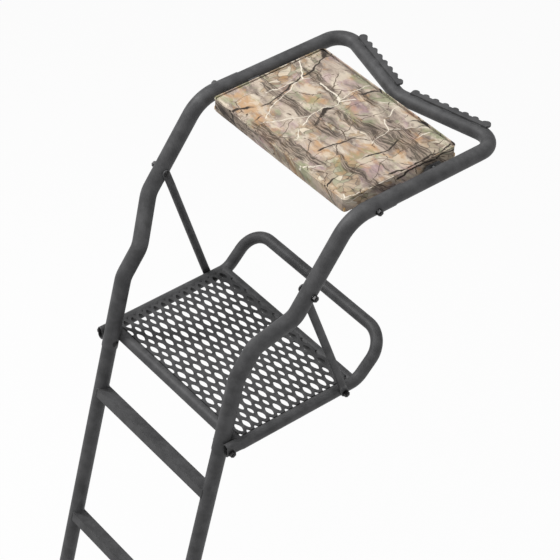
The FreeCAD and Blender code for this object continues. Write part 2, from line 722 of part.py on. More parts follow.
# ---------------------------------------------------------------- seat
# A steel pan on two pivot pins, a plywood board screwed to it and the cushion on top.
# It rests on a strap across the frame and flips up against the tree.
cushion_w = 2 * (pan_half - size("pan_sheet") - size("cushion_side_gap"))
cushion_d = size("seat_reach") - size("cushion_front_gap") - size("cushion_rear")
pan_rule = "2 * (Sizes.seat_half_width - Sizes.inner_tube_d / 2 - Sizes.ear_clearance)"
width_rule = pan_rule + " - 2 * (Sizes.pan_sheet + Sizes.cushion_side_gap)"
depth_rule = "Sizes.seat_reach - Sizes.cushion_front_gap - Sizes.cushion_rear"
cushion_mid_y = cushion_rear_y - cushion_d / 2
board_top = size("cushion_bottom") - size("seat_gap")
board_bottom = board_top - size("board_thickness")
pan_bottom = board_bottom - size("pan_sheet")
strap_top = pan_bottom - size("seat_gap")

pin_solids = []
for side, hand in ((1, "right"), (-1, "left")):
    pin = doc.addObject("Part::Cylinder", "seat_pivot_pin_" + hand)
    pin.setExpression("Radius", "Sizes.pivot_pin_d / 2")
    pin.Height = pin_to - pin_from
    pin.Placement = Placement(Vector(side * pin_from, pivot_y, pivot_z),
                              Rotation(Vector(0, 1, 0), 90 * side))
    pin_solids.append(pin)
parts.append(compound("seat_pivot_pins", pin_solids))

strap_y = sleeve_end_y + size("strap_past_sleeve") + size("strap_width") / 2
strap = body("seat_support_strap", Placement(Vector(0, strap_y, 0), Rotation()))
strap_half = seat_x - tube_r - size("weld_gap")
strap_line = sketch(strap, "strap_outline", "XZ_Plane")
bar = size("strap_thickness")
ear_top = tube_r / 3
outline = [(-strap_half, ear_top), (-strap_half, strap_top - bar),
           (strap_half, strap_top - bar), (strap_half, ear_top),
           (strap_half - bar, ear_top), (strap_half - bar, strap_top),
           (-strap_half + bar, strap_top), (-strap_half + bar, ear_top)]
corners = [Vector(x, z, 0) for x, z in outline]
for a, b in zip(corners, corners[1:] + corners[:1]):
    strap_line.addGeometry(Part.LineSegment(a, b))
pad(strap, "strap_bar", strap_line, "Sizes.strap_width", True)
parts.append(strap)

pan = body("seat_pan_body", Placement(Vector(0, cushion_mid_y, 0), Rotation()))
floor_sketch = sketch(pan, "pan_outline", "XY_Plane", pan_bottom)
board_w = cushion_w - 2 * size("board_inset")
board_d = cushion_d - 2 * size("board_inset")
add_rectangle(floor_sketch, cushion_w - 2 * size("pan_inset"), cushion_d - 2 * size("pan_inset"),
              width_rule + " - 2 * Sizes.pan_inset", depth_rule + " - 2 * Sizes.pan_inset")
pad(pan, "pan_floor", floor_sketch, "Sizes.pan_sheet")
ears = sketch(pan, "pan_ears", "YZ_Plane")
ear_top_z = pivot_z + size("ear_above_pivot")
ear_mid = pivot_y - cushion_mid_y
half_ear = size("ear_length") / 2
ear_points = [(ear_mid - half_ear, pan_bottom), (ear_mid + half_ear, pan_bottom),
              (ear_mid + half_ear / 2, ear_top_z), (ear_mid - half_ear / 2, ear_top_z)]
corners = [Vector(y, z, 0) for y, z in ear_points]
for a, b in zip(corners, corners[1:] + corners[:1]):
    ears.addGeometry(Part.LineSegment(a, b))
pad(pan, "pan_ear_block", ears, pan_rule, True)
between = sketch(pan, "pan_between_ears", "XY_Plane", pan_bottom + size("pan_sheet"))
add_rectangle(between, 2 * (pan_half - size("pan_sheet")), 2 * cushion_d,
              pan_rule + " - 2 * Sizes.pan_sheet", "2 * (" + depth_rule + ")")
clear = pan.newObject("PartDesign::Pocket", "pan_clearing")
clear.Profile = between
clear.Length = 2 * (ear_top_z - pan_bottom)
clear.Reversed = True
screw_x = board_w / 2 - size("screw_inset")
screw_y = board_d / 2 - size("screw_inset")
pan_drills = [drill("pan_pivot_drill", Vector(0, pivot_y, pivot_z), across,
                    size("pivot_pin_d") / 2 + size("pivot_play"), 4 * pan_half)]
board_drills, screws = [], []
for index, (sx, sy) in enumerate(((1, 1), (-1, 1), (-1, -1), (1, -1)), start=1):
    place = Vector(sx * screw_x, cushion_mid_y + sy * screw_y, pan_bottom)
    up = Vector(0, 0, 1)
    pan_drills.append(drill("pan_screw_drill_%d" % index, place, up,
                            size("screw_d") / 2 + size("bolt_clearance"),
                            8 * size("pan_sheet")))
    pilot = Part.makeCylinder(size("screw_d") / 2, size("screw_length"), place, up)
    board_drills.append(feature("board_pilot_%d" % index, pilot))
    head = Part.makeCylinder(size("screw_head_d") / 2, size("screw_head"),
                             place - up * size("screw_head"), up)
    screws.append(feature("seat_screw_%d" % index, pilot.fuse(head)))
parts.append(drilled("seat_pan", pan, pan_drills))
parts.append(compound("seat_screws", screws))

board = doc.addObject("Part::Box", "seat_board_blank")
board.setExpression("Length", width_rule + " - 2 * Sizes.board_inset")
board.setExpression("Width", depth_rule + " - 2 * Sizes.board_inset")
board.setExpression("Height", "Sizes.board_thickness")
board.Placement = Placement(Vector(-board_w / 2, cushion_mid_y - board_d / 2, board_bottom),
                            Rotation())
parts.append(drilled("seat_board", board, board_drills))

cushion = body("seat_cushion", Placement(Vector(0, cushion_mid_y, size("cushion_bottom")),
                                         Rotation()))
plan = sketch(cushion, "cushion_plan", "XY_Plane")
add_rectangle(plan, cushion_w, cushion_d, width_rule, depth_rule)
foam = pad(cushion, "cushion_block", plan, "Sizes.cushion_thickness")
doc.recompute()
upright = ["Edge%d" % k for k, edge in enumerate(foam.Shape.Edges, start=1)
           if abs(edge.tangentAt(edge.FirstParameter).z) > 0.99]
rounding = cushion.newObject("PartDesign::Fillet", "cushion_corners")
rounding.Base = (foam, upright)
rounding.setExpression("Radius", "Sizes.cushion_corner")
doc.recompute()
crown = ["Edge%d" % k for k, edge in enumerate(rounding.Shape.Edges, start=1)
         if edge.BoundBox.ZMin > rounding.Shape.BoundBox.ZMax - 0.01]
edging = cushion.newObject("PartDesign::Fillet", "cushion_edging")
edging.Base = (rounding, crown)
edging.setExpression("Radius", "Sizes.cushion_edge")
parts.append(cushion)

# ---------------------------------------------------------------- checks and export
doc.recompute()
for item in doc.Objects:
    if "Invalid" in item.State or "Error" in item.State:
        raise RuntimeError("%s failed: %s" % (item.Name, item.State))
for item in parts:
    if item.Shape.isNull() or not item.Shape.isValid() or not item.Shape.Solids:
        raise RuntimeError("%s has no valid shape" % item.Label)

os.makedirs("parts", exist_ok=True)
for item in parts:
    item.Shape.exportStep("parts/%s.step" % item.Label)
    print("%-24s solids %d  volume %.0f" % (item.Label, len(item.Shape.Solids),
                                            item.Shape.Volume))
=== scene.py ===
import bpy
import math
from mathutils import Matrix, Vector, noise


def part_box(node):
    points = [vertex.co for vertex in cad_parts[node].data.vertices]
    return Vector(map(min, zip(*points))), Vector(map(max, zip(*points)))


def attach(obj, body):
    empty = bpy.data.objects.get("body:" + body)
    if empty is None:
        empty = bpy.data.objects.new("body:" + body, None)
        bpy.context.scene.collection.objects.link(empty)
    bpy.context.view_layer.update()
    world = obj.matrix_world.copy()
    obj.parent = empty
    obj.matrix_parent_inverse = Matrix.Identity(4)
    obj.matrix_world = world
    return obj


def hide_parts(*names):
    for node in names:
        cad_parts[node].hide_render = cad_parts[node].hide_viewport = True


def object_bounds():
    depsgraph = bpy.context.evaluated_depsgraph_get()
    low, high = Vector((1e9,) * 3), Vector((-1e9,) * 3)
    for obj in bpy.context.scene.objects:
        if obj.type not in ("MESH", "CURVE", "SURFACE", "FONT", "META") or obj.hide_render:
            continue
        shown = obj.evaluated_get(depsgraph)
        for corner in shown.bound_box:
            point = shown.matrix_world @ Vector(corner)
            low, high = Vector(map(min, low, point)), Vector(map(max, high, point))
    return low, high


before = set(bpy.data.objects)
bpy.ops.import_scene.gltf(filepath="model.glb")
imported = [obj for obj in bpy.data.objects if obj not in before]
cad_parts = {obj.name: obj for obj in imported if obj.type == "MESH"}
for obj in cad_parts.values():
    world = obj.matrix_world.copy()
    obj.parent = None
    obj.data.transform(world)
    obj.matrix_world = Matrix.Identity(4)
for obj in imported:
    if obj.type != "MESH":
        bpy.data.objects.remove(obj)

cad_box = [list(corner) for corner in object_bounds()]


# ---------------------------------------------------------------- tubes, plates and blades
# Mild steel tube, strip and sheet, bent and welded, then powder coated in one charcoal
# colour.  Baked powder leaves a low satin sheen, a fine even orange peel and soft clouds.
COATED = [
    "right_upright_rail", "left_upright_rail", "right_ladder_rail", "left_ladder_rail",
    "ladder_rung_1", "ladder_rung_2", "ladder_rung_3", "ladder_rung_4",
    "seat_frame", "right_tree_blade", "left_tree_blade", "seat_support_strap",
    "platform_frame", "platform_front_tube", "platform_rear_tube",
    "right_platform_brace", "left_platform_brace", "seat_pan", "platform_mesh",
]


def colour(hex_code):
    """An sRGB hex colour as the linear colour that shaders take."""
    channels = [int(hex_code[k:k + 2], 16) / 255 for k in (0, 2, 4)]
    return [c / 12.92 if c <= 0.04045 else ((c + 0.055) / 1.055) ** 2.4
            for c in channels] + [1.0]


def new_material(name):
    """A material named for a finish, with its node tree and its Principled surface."""
    material = bpy.data.materials.new(name)
    material.use_nodes = True
    return material, material.node_tree, material.node_tree.nodes["Principled BSDF"]


def node(tree, kind, settings=(), **links):
    """Adds a node, sets its properties, and feeds its inputs with values or sockets.

    An input is named, with _ for a space, or numbered, as in _0."""
    added = tree.nodes.new(kind)
    for key, value in dict(settings).items():
        setattr(added, key, value)
    for name, value in links.items():
        name = int(name[1:]) if name[0] == "_" else name.replace("_", " ")
        if isinstance(value, bpy.types.NodeSocket):
            tree.links.new(value, added.inputs[name])
        else:
            added.inputs[name].default_value = value
    return added


def graded(tree, factor, *stops):
    """The colour between (place, hex) stops, or (place, number) stops for a grey value."""
    added = tree.nodes.new("ShaderNodeValToRGB")
    tree.links.new(factor, added.inputs["Fac"])
    while len(added.color_ramp.elements) < len(stops):
        added.color_ramp.elements.new(1.0)
    for element, (place, shade) in zip(added.color_ramp.elements, stops):
        element.position = place
        element.color = colour(shade) if isinstance(shade, str) else (shade, shade, shade, 1)
    return added.outputs["Color"]


def wear(material, node_names):
    """Gives CAD nodes a material."""
    for name in node_names:
        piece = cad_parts[name]
        piece.data.materials.clear()
        piece.data.materials.append(material)


# Clouds of about 30 mm from uneven film, and an orange peel drawn at 2 mm, coarser than
# real so that it shows.  The eye sees a dull charcoal with soft, slightly mottled lights.
powder_coat, tree, surface = new_material("charcoal_powder_coat")
place = node(tree, "ShaderNodeTexCoord").outputs["Object"]
cloud = node(tree, "ShaderNodeTexNoise", Vector=place, Scale=32.0, Detail=4.0, Roughness=0.6)
peel = node(tree, "ShaderNodeTexNoise", Vector=place, Scale=500.0, Detail=2.0)
film = node(tree, "ShaderNodeMath", {"operation": "MULTIPLY_ADD"}, _0=peel.outputs["Fac"],
            _1=0.35, _2=cloud.outputs["Fac"])
tree.links.new(graded(tree, film.outputs["Value"], (0.50, "3e3e3f"), (0.66, "474748"),
                      (0.84, "515152")), surface.inputs["Base Color"])
tree.links.new(graded(tree, peel.outputs["Fac"], (0.3, 0.46), (0.7, 0.60)),
               surface.inputs["Roughness"])
bump = node(tree, "ShaderNodeBump", Height=peel.outputs["Fac"], Strength=0.3, Distance=0.0004)
tree.links.new(bump.outputs["Normal"], surface.inputs["Normal"])
surface.inputs["Specular IOR Level"].default_value = 0.28
wear(powder_coat, COATED)


# ---------------------------------------------------------------- platform mesh
# Raised expanded metal: one sheet slit and stretched, so that every strand is tilted and
# every bond between four holes is a small leaning flat.  Wide and narrow rows of holes
# alternate.  The sheet is sheared to size and welded on the shoulders of the tubes.
HOLE_PITCH = (0.0531, 0.0213)
WIDE, NARROW = 1, 0
HOLES = {WIDE: (0.0150, 0.0071), NARROW: (0.0115, 0.0056)}    # half length, half height
RIM = [(1, 0), (0.88, 0.34), (0.45, 0.80), (0, 1)]            # a quarter hole, as shares
RIM_LIFT = [0, 0.25, 0.7, 1]
SHEET = 0.0024
TILT = 0.0018           # how far a strand's two edges lean up and down
SHEAR_GAP = 0.0002      # between the sheet's edge and the CAD sheet's
FLAT_EDGE = 0.006       # the width of sheet that is welded down
mesh_low, mesh_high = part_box("platform_mesh")


def deselect():
    for other in bpy.context.selected_objects:
        other.select_set(False)


def pick(piece):
    """Makes a piece the only one selected, and the active one."""
    deselect()
    piece.select_set(True)
    bpy.context.view_layer.objects.active = piece


def edit(piece, kind, wanted):
    """Enters edit mode with the wanted vertices, edges or faces selected."""
    pick(piece)
    bpy.context.tool_settings.mesh_select_mode = [kind == k for k in ("VERT", "EDGE", "FACE")]
    mesh = piece.data
    for items in (mesh.vertices, mesh.edges, mesh.polygons):
        items.foreach_set("select", [False] * len(items))
    for item in {"VERT": mesh.vertices, "EDGE": mesh.edges, "FACE": mesh.polygons}[kind]:
        item.select = wanted(item)
    bpy.ops.object.mode_set(mode="EDIT")


def ends(piece, edge):
    """The places of an edge's two ends."""
    return [piece.data.vertices[k].co for k in edge.vertices]


def apply_modifiers(piece):
    pick(piece)
    for modifier in list(piece.modifiers):
        bpy.ops.object.modifier_apply(modifier=modifier.name)


def finish_piece(piece, name, body, material, angle=None):
    """Bakes a piece's place into its mesh, names it, and lets it ride on its body."""
    pick(piece)
    bpy.ops.object.transform_apply(location=True, rotation=True, scale=True)
    if angle is None:
        bpy.ops.object.shade_smooth()
    else:
        bpy.ops.object.shade_smooth_by_angle(angle=math.radians(angle))
    piece.name = piece.data.name = name
    piece.data.materials.clear()
    piece.data.materials.append(material)
    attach(piece, body)


def hole_tile(row):
    """One hole with its share of the strands round it, grown outwards from the hole's rim."""
    half_x, half_y = HOLE_PITCH[0] / 2, HOLE_PITCH[1] / 2
    tip, rise = HOLES[row]
    deselect()
    bpy.ops.mesh.primitive_circle_add(vertices=12, radius=1.0)
    tile = bpy.context.active_object
    edit(tile, "EDGE", lambda edge: True)
    bpy.ops.mesh.extrude_edges_move()
    bpy.ops.object.mode_set(mode="OBJECT")
    for vertex in tile.data.vertices:
        grown = vertex.select
        # step counts 30 degree turns from the hole's tip to its middle
        turn = math.degrees(math.atan2(vertex.co.y, vertex.co.x)) % 180
        step = round(min(turn, 180 - turn) / 30)
        side_x, side_y = (0 if abs(c) < 1e-4 else math.copysign(1, c) for c in vertex.co[:2])
        if grown:
            reach = 1 - step / 3
            vertex.co = (side_x * half_x * reach, side_y * half_y * (1 - reach), 0)
        else:
            x, y = RIM[step]
            vertex.co = (side_x * tip * x, side_y * rise * y, -side_y * TILT * RIM_LIFT[step])
    return tile


def spread(tile, count, step):
    """Repeats a tile in a row."""
    array = tile.modifiers.new("row", "ARRAY")
    array.use_relative_offset = False
    array.use_constant_offset = True
    array.constant_offset_displace = step
    array.count = count
    apply_modifiers(tile)


mesh_mid = (Vector(mesh_low) + Vector(mesh_high)) / 2
columns = math.ceil((mesh_high[0] - mesh_low[0]) / HOLE_PITCH[0]) + 2
rows = math.ceil((mesh_high[1] - mesh_low[1]) / HOLE_PITCH[1]) + 2
columns += 1 - columns % 2
rows += rows % 2
rows_of_holes = []
# the narrow rows lie half a pitch off, so they have one hole more each way
for row in (WIDE, NARROW):
    tile = hole_tile(row)
    spread(tile, columns + 1 - row, (HOLE_PITCH[0], 0, 0))
    spread(tile, rows + 1 - row, (0, HOLE_PITCH[1], 0))
    shift_x = (columns - row) / 2 * HOLE_PITCH[0]
    shift_y = (rows - row) / 2 * HOLE_PITCH[1]
    tile.location = (mesh_mid.x - shift_x, mesh_mid.y - shift_y, mesh_low[2] + SHEET / 2)
    rows_of_holes.append(tile)
pick(rows_of_holes[0])
rows_of_holes[1].select_set(True)
bpy.ops.object.join()
grille = bpy.context.active_object
bpy.ops.object.transform_apply(location=True, rotation=True, scale=True)
bpy.ops.object.mode_set(mode="EDIT")
bpy.ops.mesh.select_all(action="SELECT")
bpy.ops.mesh.remove_doubles(threshold=0.0001)
for axis in (0, 1):
    for end, facing in ((mesh_low, -1), (mesh_high, 1)):
        sheared_at, away = list(mesh_mid), [0, 0, 0]
        sheared_at[axis], away[axis] = end[axis] - facing * SHEAR_GAP, facing
        bpy.ops.mesh.select_all(action="SELECT")
        bpy.ops.mesh.bisect(plane_co=sheared_at, plane_no=away, clear_outer=True)
bpy.ops.mesh.select_all(action="SELECT")
bpy.ops.mesh.normals_make_consistent(inside=False)
bpy.ops.object.mode_set(mode="OBJECT")
# near its welded edges the sheet lies flat on the tubes
flat = mesh_low[2] + SHEET / 2
for vertex in grille.data.vertices:
    inside = min(vertex.co.x - mesh_low[0], mesh_high[0] - vertex.co.x,
                 vertex.co.y - mesh_low[1], mesh_high[1] - vertex.co.y)
    raised = min(1.0, max(0.0, inside / FLAT_EDGE - 1))
    vertex.co.z = flat + (vertex.co.z - flat) * raised
wall = grille.modifiers.new("sheet", "SOLIDIFY")
wall.thickness, wall.offset = SHEET, 0.0
apply_modifiers(grille)

# The same coat with painted shade: mixed towards a near-black where a strand turns from the
# level, for the holes' walls, which light hardly reaches, and for the tilted strands, which lie
# in each other's shade. Even the level tops keep only 0.72 of the coat, so the whole sheet is
# painted darker.
mesh_coat_with_painted_shade = powder_coat.copy()
mesh_coat_with_painted_shade.name = "charcoal_coat_on_sheared_mesh"
tree = mesh_coat_with_painted_shade.node_tree
surface = tree.nodes["Principled BSDF"]
facing = node(tree, "ShaderNodeTexCoord").outputs["Normal"]
level = node(tree, "ShaderNodeSeparateXYZ", Vector=facing).outputs["Z"]
level = node(tree, "ShaderNodeMath", {"operation": "ABSOLUTE"}, _0=level).outputs["Value"]
coat = surface.inputs["Base Color"].links[0].from_socket
# painted shade: near-black 1e1e1f on walls and tilted faces, and 0.28 of it on the level tops
dark = node(tree, "ShaderNodeMix", {"data_type": "RGBA"}, _6=colour("1e1e1f"), _7=coat,
            _0=graded(tree, level, (0.80, 0.0), (1.0, 0.72)))
tree.links.new(dark.outputs[2], surface.inputs["Base Color"])
finish_piece(grille, "expanded_metal", "frame", mesh_coat_with_painted_shade, 35)
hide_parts("platform_mesh")


# ---------------------------------------------------------------- weld beads
# Fillet welds under the coat: a bead right round each end of a rung, and three short ones
# along the back edge of each tree blade.  A bead is 3.8 mm wide, with a ripple every 4 mm.
BEAD_RADIUS = 0.0019
RIPPLE = 0.82                               # a bead's waist, as a share of its radius
RAIL_RADIUS = 0.0175
RUNG_HALF = (0.0170, 0.0110)                # half a rung's depth and height
RUNG_POINTS = (15, 10)                      # points along a bead's long and short sides
VEE = math.radians(14.1)
VEE_POINT = Vector((0, -0.02196, 0.0176))   # where the right blade's back edge starts from
BLADE_START = {1: 0.031, -1: 0.014}         # from there to the blade's inner end
BLADE_FORWARD = {1: 0.0, -1: 0.003}         # the left blade stands nearer to the tree
BLADE_LENGTH = 0.202
STITCH_POINTS = 14
rung_middles = [sum((Vector(corner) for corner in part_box("ladder_rung_%d" % k)), Vector()) / 2
                for k in range(1, 5)]
ladder_run = rung_middles[0] - rung_middles[-1]
up = ladder_run.normalized()
out = Vector((0, up.z, -up.y))
rail_low, rail_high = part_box("right_ladder_rail")
rail_x = (rail_low[0] + rail_high[0]) / 2


def bead(points, closed):
    """A rippled bead along points about 2 mm apart."""
    deselect()
    bpy.ops.mesh.primitive_circle_add(vertices=len(points), radius=0.1)
    run = bpy.context.active_object
    for vertex, point in zip(run.data.vertices, points):
        vertex.co = point
    if not closed:
        last = len(points) - 1
        edit(run, "EDGE", lambda edge: set(edge.vertices) == {0, last})
        bpy.ops.mesh.delete(type="EDGE")
        bpy.ops.object.mode_set(mode="OBJECT")
    pick(run)
    bpy.ops.object.convert(target="CURVE")
    run = bpy.context.active_object
    run.data.bevel_depth = BEAD_RADIUS
    run.data.bevel_resolution = 1
    run.data.use_fill_caps = True
    for spline in run.data.splines:
        for k, point in enumerate(spline.points):
            point.radius = 1.0 if k % 2 else RIPPLE
    bpy.ops.object.convert(target="MESH")
    return bpy.context.active_object


def with_copies(piece, moves):
    """A piece and its copies, each with its own mesh and moved from the first."""
    made = [piece]
    for move in moves:
        pick(piece)
        bpy.ops.object.duplicate()
        bpy.ops.transform.translate(value=move)
        made.append(bpy.context.active_object)
    return made


beads = []
half_deep, half_high = RUNG_HALF
corners = [(1, 1), (-1, 1), (-1, -1), (1, -1)]
for side in (1, -1):
    loop = []
    for (a, b), (c, d) in zip(corners, corners[1:] + corners[:1]):
        count = RUNG_POINTS[0] if a != c else RUNG_POINTS[1]
        for k in range(count):
            deep = half_deep * (a + (c - a) * k / count)
            tall = half_high * (b + (d - b) * k / count)
            # the rung's end is coped round the rail
            round_rail = math.sqrt(RAIL_RADIUS ** 2 - min(deep ** 2, 0.9 * RAIL_RADIUS ** 2))
            loop.append(Vector((side * (rail_x - round_rail), 0, 0)) + out * deep + up * tall
                        + rung_middles[0] * Vector((0, 1, 1)))
    beads += with_copies(bead(loop, True), [m - rung_middles[0] for m in rung_middles[1:]])
    leg = Vector((side * math.cos(VEE), math.sin(VEE), 0))
    tree_way = Vector((-side * math.sin(VEE), math.cos(VEE), 0))
    start = VEE_POINT + tree_way * BLADE_FORWARD[side] + leg * (
        BLADE_START[side] + 0.06 * BLADE_LENGTH)
    stitch = bead([start + leg * BEAD_RADIUS * k for k in range(STITCH_POINTS)], False)
    beads += with_copies(stitch, [leg * BLADE_LENGTH * step for step in (0.38, 0.76)])
pick(beads[0])
for piece in beads[1:]:
    piece.select_set(True)
bpy.ops.object.join()
welds = bpy.context.active_object
finish_piece(welds, "weld_beads", "frame", powder_coat)


# ---------------------------------------------------------------- bolts, nuts and washers
# Round-headed bolts with lock nuts and washers in black oxide: a dark, slightly oily steel
# that catches a small hard highlight.  Its stain is drawn in patches of about 4 mm.
black_oxide, tree, surface = new_material("black_oxide_steel")
place = node(tree, "ShaderNodeTexCoord").outputs["Object"]
stain = node(tree, "ShaderNodeTexNoise", Vector=place, Scale=260.0, Detail=4.0)
tree.links.new(graded(tree, stain.outputs["Fac"], (0.35, "1c1c1d"), (0.65, "2d2c2c")),
               surface.inputs["Base Color"])
tree.links.new(graded(tree, stain.outputs["Fac"], (0.3, 0.32), (0.7, 0.5)),
               surface.inputs["Roughness"])
surface.inputs["Metallic"].default_value = 0.5
wear(black_oxide, ["seat_joint_bolts", "brace_top_bolts", "brace_foot_bolts",
                   "ladder_joint_bolts", "lock_nuts", "joint_washers"])


# ---------------------------------------------------------------- pivot pins and screws
# Zinc plated steel, turned or rolled: a bright cool grey, with the cloudy spangle of the
# plating bath drawn in specks of about 1.4 mm.
zinc, tree, surface = new_material("zinc_plated_steel")
place = node(tree, "ShaderNodeTexCoord").outputs["Object"]
spangle = node(tree, "ShaderNodeTexNoise", Vector=place, Scale=700.0, Detail=3.0)
tree.links.new(graded(tree, spangle.outputs["Fac"], (0.3, "8b8d8f"), (0.7, "a9abad")),
               surface.inputs["Base Color"])
tree.links.new(graded(tree, spangle.outputs["Fac"], (0.3, 0.28), (0.7, 0.45)),
               surface.inputs["Roughness"])
surface.inputs["Metallic"].default_value = 1.0
wear(zinc, ["seat_pivot_pins", "seat_screws"])


# ---------------------------------------------------------------- seat board
# Birch plywood under the cushion, screwed to the steel pan: pale rotary-cut veneer, its
# grain in streaks of 170 by 11 mm along X, and seven plies that show on its edge as bands
# of 1.3 mm.
plywood, tree, surface = new_material("birch_plywood")
place = node(tree, "ShaderNodeTexCoord").outputs["Object"]
along = node(tree, "ShaderNodeMapping", Vector=place, Scale=(6.0, 90.0, 770.0))
grain = node(tree, "ShaderNodeTexNoise", Vector=along.outputs["Vector"], Scale=1.0,
             Detail=6.0, Roughness=0.65)
tree.links.new(graded(tree, grain.outputs["Fac"], (0.3, "a5814f"), (0.7, "c9a671")),
               surface.inputs["Base Color"])
bump = node(tree, "ShaderNodeBump", Height=grain.outputs["Fac"], Strength=0.3,
            Distance=0.0004)
tree.links.new(bump.outputs["Normal"], surface.inputs["Normal"])
surface.inputs["Roughness"].default_value = 0.6
wear(plywood, ["seat_board"])


# ---------------------------------------------------------------- seat cushion
# A foam pad in a woven polyester cover with a woodland camouflage print.  A corded seam
# runs round the top panel, and a boxing band hangs from it, wraps the edge of the board
# and is hemmed under it.
CORD = 0.0030
CORNER = 0.009
INSET = 0.0014          # of the seam from the CAD cushion's sides
CLOTH = 0.0011
HEM, HEM_DROP = 0.0068, 0.0013
PAD_GAP = 0.002         # between the pad at the start and its cover
PAD_LIFT = 0.0008       # of the pad from the board
SEWN_DEPTH, SEWN_RIM = 0.008, 0.0045    # the pad is held below this, and this near the seam
PROUD = 0.0052          # how far the top panel crowns
MOST_SWELL = 0.006
VOXEL = 0.005
SLACK, PUCKER = 0.0009, 0.0013
SIDE_CUTS, HEIGHT_CUTS = 60, 7
pad_low, pad_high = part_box("seat_cushion")
board_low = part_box("seat_board")[0]
cushion_mid = (Vector(pad_low) + Vector(pad_high)) / 2
half_w = (pad_high[0] - pad_low[0]) / 2 - INSET
half_d = (pad_high[1] - pad_low[1]) / 2 - INSET
seam_z = pad_high[2] - CORD
hem_z = board_low[2] - HEM_DROP

# Woven polyester, printed.  A ground like bark in pale tans and pinkish greys, in streaks
# of 110 by 33 mm; patches of ochre, sage and dusky rose, 60 to 100 mm long; leaf litter;
# and dark limbs and pale twigs that branch and break off.  The cloth is cut so that the
# print runs on over the seam, which sliding the flat pattern by the height gives.
camouflage, tree, surface = new_material("camouflage_polyester")
place = node(tree, "ShaderNodeTexCoord").outputs["Object"]
spot = node(tree, "ShaderNodeSeparateXYZ", Vector=place)
slid_x = node(tree, "ShaderNodeMath", {"operation": "ADD"}, _0=spot.outputs["X"],
              _1=spot.outputs["Z"])
slid_y = node(tree, "ShaderNodeMath", {"operation": "ADD"}, _0=spot.outputs["Y"],
              _1=spot.outputs["Z"])
flat = node(tree, "ShaderNodeCombineXYZ", X=slid_x.outputs["Value"],
            Y=slid_y.outputs["Value"]).outputs["Vector"]
waver = node(tree, "ShaderNodeTexNoise", {"noise_dimensions": "2D"}, Vector=flat, Scale=16.0,
             Detail=5.0)
drift = node(tree, "ShaderNodeVectorMath", {"operation": "SCALE"}, _0=waver.outputs["Color"],
             Scale=0.035)
warped = node(tree, "ShaderNodeVectorMath", {"operation": "ADD"}, _0=flat,
              _1=drift.outputs["Vector"]).outputs["Vector"]


def blended(under, over, mask):
    """One colour laid over another where the mask is bright."""
    return node(tree, "ShaderNodeMix", {"data_type": "RGBA"}, _0=mask, _6=under,
                _7=over).outputs[2]


def both(first, second):
    """A mask that is bright where two are."""
    return node(tree, "ShaderNodeMath", {"operation": "MULTIPLY"}, _0=first,
                _1=second).outputs["Value"]


def laid_out(offset, turn, along, across):
    """The print's plane shifted, turned, and scaled to features per metre."""
    return node(tree, "ShaderNodeMapping", Vector=warped, Location=offset,
                Rotation=(0, 0, turn), Scale=(along, across, 1)).outputs["Vector"]


def clouds(where, begin, full, strength=1.0, detail=7.0, roughness=0.65):
    """A mask of ragged clouds; a higher `begin` leaves fewer of them."""
    cloud = node(tree, "ShaderNodeTexNoise", {"noise_dimensions": "2D"}, Vector=where,
                 Scale=1.0, Detail=detail, Roughness=roughness)
    return graded(tree, cloud.outputs["Fac"], (begin, 0.0), (full, strength))


def cells(where, feature):
    """Leaf-shaped cells: their distances or their random tones."""
    return node(tree, "ShaderNodeTexVoronoi", {"feature": feature, "voronoi_dimensions": "2D"},
                Vector=where, Scale=1.0)


def branches(offset, turn, along, across, width, gate):
    """A mask of thin branching lines, which break off where a cloud is thin."""
    where = laid_out(offset, turn, along, across)
    line = graded(tree, cells(where, "DISTANCE_TO_EDGE").outputs["Distance"],
                  (width * 0.6, 1.0), (width, 0.0))
    return both(line, clouds(where, gate, gate + 0.03, 1.0, 3.0))


ground = node(tree, "ShaderNodeTexNoise", {"noise_dimensions": "2D"}, Scale=1.0, Detail=10.0,
              Roughness=0.70, Vector=laid_out((0, 0, 0), 0.55, 9.0, 30.0))
print_colour = graded(tree, ground.outputs["Fac"], (0.32, "655b52"), (0.43, "8b7d73"),
                      (0.50, "a69789"), (0.57, "b8a999"), (0.68, "cdc2b1"))
for shade, offset, size, begin, full, strength in (
        ("b88b58", (3, 1, 0), 10, 0.52, 0.63, 0.65),
        ("848f69", (7, 4, 0), 13, 0.53, 0.64, 0.60),
        ("ad8f99", (1, 9, 0), 11, 0.53, 0.66, 0.45),
        ("d5c9b5", (6, 2, 0), 16, 0.54, 0.64, 0.60)):
    print_colour = blended(print_colour, colour(shade),
                           clouds(laid_out(offset, 0.3, size, size * 1.5), begin, full,
                                  strength))
# leaf litter: cells of 12 by 20 mm, each in its own tone with a dark rim
litter = laid_out((0, 0, 0), -0.7, 85.0, 50.0)
tone = node(tree, "ShaderNodeSeparateColor", Color=cells(litter, "F1").outputs["Color"])
leaves = graded(tree, tone.outputs["Red"], (0.0, "5f5144"), (0.3, "a3855f"),
                (0.55, "b09f8a"), (0.75, "868a6e"), (1.0, "ddd0ba"))
rim = cells(litter, "DISTANCE_TO_EDGE").outputs["Distance"]
leaves = blended(leaves, colour("453a31"), graded(tree, rim, (0.02, 0.85), (0.09, 0.0)))
print_colour = blended(print_colour, leaves, clouds(laid_out((2, 7, 0), 0, 8, 8), 0.53,
                                                    0.59, 0.65))
